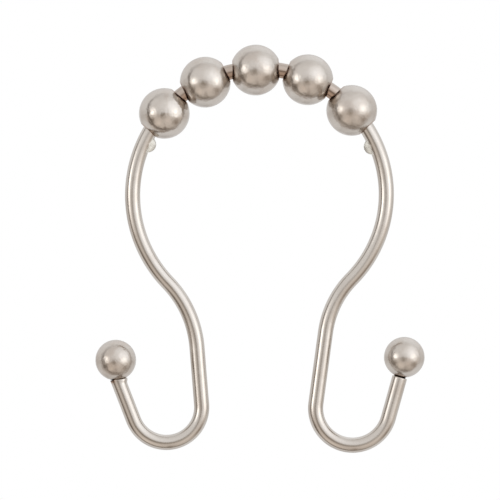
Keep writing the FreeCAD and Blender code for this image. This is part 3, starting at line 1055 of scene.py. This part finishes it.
class HOOK_OT_fit_end_balls(bpy.types.Operator):
    """Fit a ball on each tip of the wire"""

    bl_idname = "hook.fit_end_balls"
    bl_label = "Fit End Balls"

    def execute(self, context):
        settings = context.scene.curtain_hook
        wire, beads = settings.wire, settings.beads
        plating = nickel_material(settings.finish, "ball_nickel")
        for side, sign in (("left", -1), ("right", 1)):
            tip = half_path(wire, side, sign)
            upwards = (tip[-1] - tip[-2]).normalized()
            outwards = Vector((sign * upwards.z, 0, -sign * upwards.x))
            shift = getattr(beads, f"{side}_offset")
            middle = tip[-1] - upwards * wire.spigot - outwards * shift
            mesh = socketed_ball(
                f"plated_{side}_end_ball", beads, middle, upwards, outwards, shift, wire.spigot
            )
            mesh.materials.append(plating)
            made = add_object(mesh.name, mesh)
            count_faces(made, LEAST_BALL_FACES)
            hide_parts(f"{side}_end_ball")
            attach(made, WIRE_BODY)
        return {"FINISHED"}


# Stage

# The paper under the hook: its radius, and where it runs out into white
FLOOR_RADIUS = 0.5
FLOOR_FADE = (0.12, 0.45)
PAPER_WHITE = (0.93, 0.93, 0.93, 1)

# The softbox over the hook: the direction to it, its distance, its size and its colour
LAMP_DIRECTION = Vector((0.25, -0.45, 0.9))
LAMP_DISTANCE = 0.8
LAMP_SIZE = (0.8, 0.6)
LAMP_COLOUR = (1.0, 0.98, 0.96)

# The camera: its sensor in millimetres, and the distances between which it sees
SENSOR_WIDTH = 36
CLIPPING = (0.01, 20)

# The studio as a ball shows it that faces the camera: middle across and up, half sizes, how
# strongly it shows, and its colour. The ball's radius is 1, and the paper starts at 0.71.
STUDIO_PATCHES = (
    ("left lobe", (-0.21, -0.38), (0.13, 0.13), 0.8, (1.10, 0.99, 0.89)),
    ("right lobe", (0.17, -0.30), (0.12, 0.11), 0.7, (1.06, 0.96, 0.88)),
    ("right glow", (0.36, 0.24), (0.30, 0.28), 0.85, (1.66, 1.70, 1.76)),
    ("right softbox", (0.45, 0.03), (0.13, 0.14), 0.9, (2.4, 2.4, 2.38)),
    ("left softbox", (-0.45, 0.04), (0.10, 0.11), 1.0, (2.8, 2.76, 2.7)),
    ("lens", (-0.06, -0.08), (0.13, 0.12), 0.8, (0.20, 0.15, 0.105)),
    ("left curtain", (-0.615, 0.02), (0.05, 0.34), 0.85, (0.20, 0.15, 0.11)),
    ("low left", (-0.49, -0.29), (0.10, 0.14), 0.85, (0.16, 0.115, 0.08)),
    ("low right", (0.47, -0.36), (0.14, 0.13), 0.75, (0.27, 0.20, 0.15)),
    ("tripod", (0.04, -0.53), (0.035, 0.12), 0.7, (0.22, 0.16, 0.12)),
)

# Heights of the room's colours, shown the same way
ROOM_LEVELS = (
    (-0.70, "room_floor"), (-0.50, "room_below"), (-0.12, "room_below"),
    (0.05, "room_above"), (0.45, "room_above"), (0.70, "room_top"),
)

# The patches on the paper around and behind the hook
PAPER_PATCHES = (
    ("upper paper", (0.35, 0.80), (0.60, 0.40), 0.8, (1.24, 1.27, 1.30)),
    ("left side", (-0.86, -0.10), (0.30, 0.24), 0.8, (0.74, 0.71, 0.68)),
    ("right side", (0.86, -0.14), (0.30, 0.22), 0.8, (0.80, 0.77, 0.74)),
    ("low side", (-0.10, -1.00), (0.60, 0.12), 0.8, (0.50, 0.48, 0.46)),
    ("low left side", (-0.50, -0.80), (0.20, 0.12), 0.5, (0.60, 0.58, 0.56)),
)

# Where the paper takes over from the room, and where it is as white as the camera sees it
PAPER_START = (0.66, 0.79)
PAPER_BEHIND = (0.93, 0.98)

# The dark edge of the paper: a circle round a middle up and right of the camera, strongest
# towards the lower left. Sides go from -1, upper right, to 1.
SEAM_MIDDLE = (0.06, 0.05)
SEAM_RADIUS = 0.70
SEAM_WIDTH = 0.038
SEAM_TOWARDS = (-0.86, -0.5)
SEAM_SIDES = (-0.5, 0.8)
SEAM_LEAST = 0.13
SEAM_MORE = 0.65

# Least distances on the ball that anything is divided by
LEAST_SPREAD = 0.001
LEAST_OUT = 0.01


def ray(tree, kind):
    """1 for rays of a kind, such as Camera, and 0 for all others."""
    return Number(tree, read(tree, "ShaderNodeLightPath", f"Is {kind} Ray"))


def paper_floor(stage):
    """Round sheet of pale paper under the hook, which runs out into the white around it."""
    sheet = bmesh.new()
    bmesh.ops.create_circle(sheet, cap_ends=True, segments=96, radius=FLOOR_RADIUS)
    mesh = bpy.data.meshes.new("paper_floor")
    sheet.to_mesh(mesh)
    sheet.free()
    for vertex in mesh.vertices:
        vertex.co.z = stage.floor_height
    material = bpy.data.materials.new("pale_paper")
    tree = cleared(material)
    x, y, _ = split(tree, read(tree, "ShaderNodeTexCoord", "Object"))
    edge = (x.squared() + y.squared()).root().step(*FLOOR_FADE)
    paper = add_node(tree, "ShaderNodeBsdfPrincipled", Base_Color=PAPER_WHITE, Roughness=0.9)
    white = add_node(tree, "ShaderNodeEmission", Color=(1, 1, 1, 1), Strength=1.0)
    mixed = tree.nodes.new("ShaderNodeMixShader")
    seen = ray(tree, "Camera").at_least(ray(tree, "Glossy"))
    feed(tree, mixed.inputs[0], edge * seen)
    tree.links.new(paper.outputs[0], mixed.inputs[1])
    tree.links.new(white.outputs[0], mixed.inputs[2])
    leaving = tree.nodes.new("ShaderNodeOutputMaterial")
    tree.links.new(mixed.outputs[0], leaving.inputs["Surface"])
    mesh.materials.append(material)
    made = add_object("paper_floor", mesh)
    # The room that the metal mirrors is the world's
    made.visible_glossy = False
    return made


def room_colours(tree, stage, up):
    """The room in front of the hook, from its floor to its top."""
    ramp = tree.nodes.new("ShaderNodeValToRGB")
    while len(ramp.color_ramp.elements) < len(ROOM_LEVELS):
        ramp.color_ramp.elements.new(0.5)
    for element, (level, shade) in zip(ramp.color_ramp.elements, ROOM_LEVELS):
        element.position = level * 0.5 + 0.5
        element.color = (*getattr(stage, shade), 1)
    feed(tree, ramp.inputs["Fac"], up * 0.5 + 0.5)
    return ramp.outputs["Color"]


def studio_world(stage):
    """White paper behind the hook and a warm grey room in front of it, by direction."""
    world = bpy.data.worlds.new("studio")
    tree = cleared(world)
    x, y, z = split(tree, read(tree, "ShaderNodeTexCoord", "Generated"))

    # Where a ball that faces the camera mirrors this direction
    spread = ((1 - y) * 2).root().at_least(LEAST_SPREAD)
    across, up = x / spread, z / spread
    out = ((1 + y) * 0.5).root()

    def add_patches(under, patches):
        for _, middle, half, strength, shade in patches:
            mask = (across - middle[0]).bell(half[0]) * (up - middle[1]).bell(half[1])
            under = mix_colours(tree, under, (*shade, 1), mask * strength)
        return under

    room = add_patches(room_colours(tree, stage, up), STUDIO_PATCHES)
    paper = add_patches((*stage.surround, 1), PAPER_PATCHES)
    around = mix_colours(tree, room, paper, out.step(*PAPER_START))

    reach = ((across - SEAM_MIDDLE[0]).squared() + (up - SEAM_MIDDLE[1]).squared()).root()
    lean = (across * SEAM_TOWARDS[0] + up * SEAM_TOWARDS[1]) / out.at_least(LEAST_OUT)
    seam = (reach - SEAM_RADIUS).bell(SEAM_WIDTH)
    seam = seam * (lean.step(*SEAM_SIDES) * SEAM_MORE + SEAM_LEAST)
    around = mix_colours(tree, around, (*stage.seam, 1), seam)

    mirrored = ray(tree, "Glossy").at_least(ray(tree, "Transmission"))
    white = ray(tree, "Camera").at_least(mirrored * out.step(*PAPER_BEHIND))
    around = mix_colours(tree, around, (1, 1, 1, 1), white)
    light = add_node(tree, "ShaderNodeBackground", Color=around, Strength=1.0)
    leaving = tree.nodes.new("ShaderNodeOutputWorld")
    tree.links.new(light.outputs[0], leaving.inputs["Surface"])
    return world


def top_softbox(stage, aim):
    """Rectangular lamp over the hook that faces it."""
    lamp = bpy.data.lights.new("top_softbox", "AREA")
    lamp.shape = "RECTANGLE"
    lamp.size, lamp.size_y = LAMP_SIZE
    lamp.energy = stage.lamp_power
    lamp.color = LAMP_COLOUR
    made = add_object("top_softbox", lamp)
    made.location = aim + LAMP_DIRECTION.normalized() * LAMP_DISTANCE
    made.rotation_euler = LAMP_DIRECTION.to_track_quat("Z", "Y").to_euler()
    made.visible_glossy = False


class HOOK_OT_set_stage(bpy.types.Operator):
    """Set the camera, the pale floor and the studio light"""

    bl_idname = "hook.set_stage"
    bl_label = "Set Stage"

    def execute(self, context):
        scene = context.scene
        stage = scene.curtain_hook.stage
        scene.view_settings.view_transform = "Standard"
        paper_floor(stage)
        scene.world = studio_world(stage)
        aim = Vector((stage.view_across, 0, stage.view_height))
        top_softbox(stage, aim)
        lens = bpy.data.cameras.new("camera")
        lens.sensor_width = SENSOR_WIDTH
        lens.lens = SENSOR_WIDTH * stage.camera_distance / stage.view_width
        lens.clip_start, lens.clip_end = CLIPPING
        camera = add_object("camera", lens)
        camera.location = aim - Vector((0, stage.camera_distance, 0))
        camera.rotation_euler = (math.pi / 2, 0, 0)
        scene.camera = camera
        return {"FINISHED"}


# Panel

class HOOK_PT_curtain_hook(bpy.types.Panel):
    """Settings and steps of the curtain hook"""

    bl_idname = "HOOK_PT_curtain_hook"
    bl_label = "Curtain Hook"
    bl_space_type = "VIEW_3D"
    bl_region_type = "UI"
    bl_category = "Curtain Hook"

    def draw(self, context):
        layout = self.layout
        settings = context.scene.curtain_hook
        for label, group, operators in (
            ("Wire", settings.wire, (HOOK_OT_bend_wire,)),
            ("Beads and Balls", settings.beads, (HOOK_OT_thread_beads, HOOK_OT_fit_end_balls)),
            ("Finish", settings.finish, ()),
            ("Stage", settings.stage, (HOOK_OT_set_stage,)),
        ):
            box = layout.box()
            box.label(text=label)
            for name in group.__annotations__:
                box.prop(group, name)
            for operator in operators:
                box.operator(operator.bl_idname)


CLASSES = (
    WireSettings,
    BeadSettings,
    FinishSettings,
    StageSettings,
    CurtainHookSettings,
    HOOK_OT_bend_wire,
    HOOK_OT_thread_beads,
    HOOK_OT_fit_end_balls,
    HOOK_OT_set_stage,
    HOOK_PT_curtain_hook,
)


def register():
    for item in CLASSES:
        bpy.utils.register_class(item)
    bpy.types.Scene.curtain_hook = PointerProperty(type=CurtainHookSettings)


def unregister():
    del bpy.types.Scene.curtain_hook
    for item in reversed(CLASSES):
        bpy.utils.unregister_class(item)


def main():
    register()
    bpy.ops.hook.bend_wire()
    bpy.ops.hook.thread_beads()
    bpy.ops.hook.fit_end_balls()
    bpy.ops.hook.set_stage()


if __name__ == "__main__":
    main()
